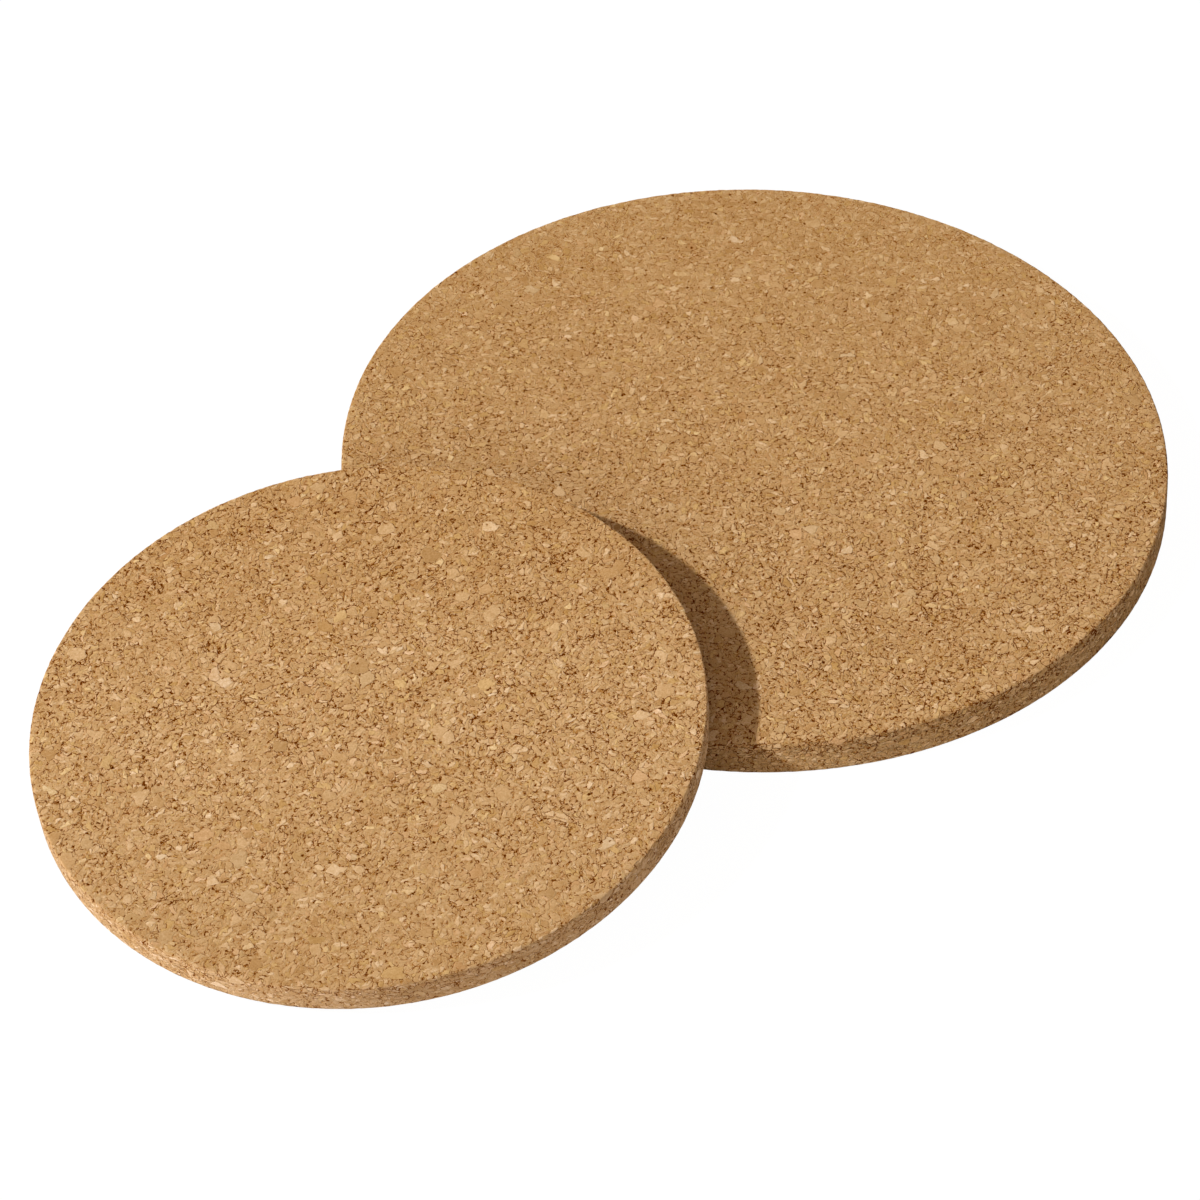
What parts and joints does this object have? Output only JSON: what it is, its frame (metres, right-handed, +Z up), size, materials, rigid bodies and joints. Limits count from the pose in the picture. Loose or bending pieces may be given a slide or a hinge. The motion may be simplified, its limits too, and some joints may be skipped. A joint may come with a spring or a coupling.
{
  "type": "trivet",
  "caption": "Set of round pressed-cork trivets for hot pans: a wide flat disc with a smaller disc leaning on its rim, both plain, with upright walls.",
  "frame": {"origin": "centre of the large trivet's underside, on the table", "axes": "+Z up from the table; -X from the large trivet's centre towards the small trivet, down along its lean; the set is mirror-symmetric about the XZ plane"},
  "size_m": [0.3814, 0.25, 0.0276],
  "materials": {
    "large_cork": "matte",
    "small_cork": "matte"
  },
  "bodies": {
    "large_trivet": {"large_trivet": "large_cork"},
    "small_trivet": {"small_trivet": "small_cork"}
  },
  "joints": [
    {"name": "small_trivet_lift", "type": "slide", "parent": "large_trivet", "child": "small_trivet", "axis": [0, 0, 1], "range_m": [0, 0.1]}
  ]
}
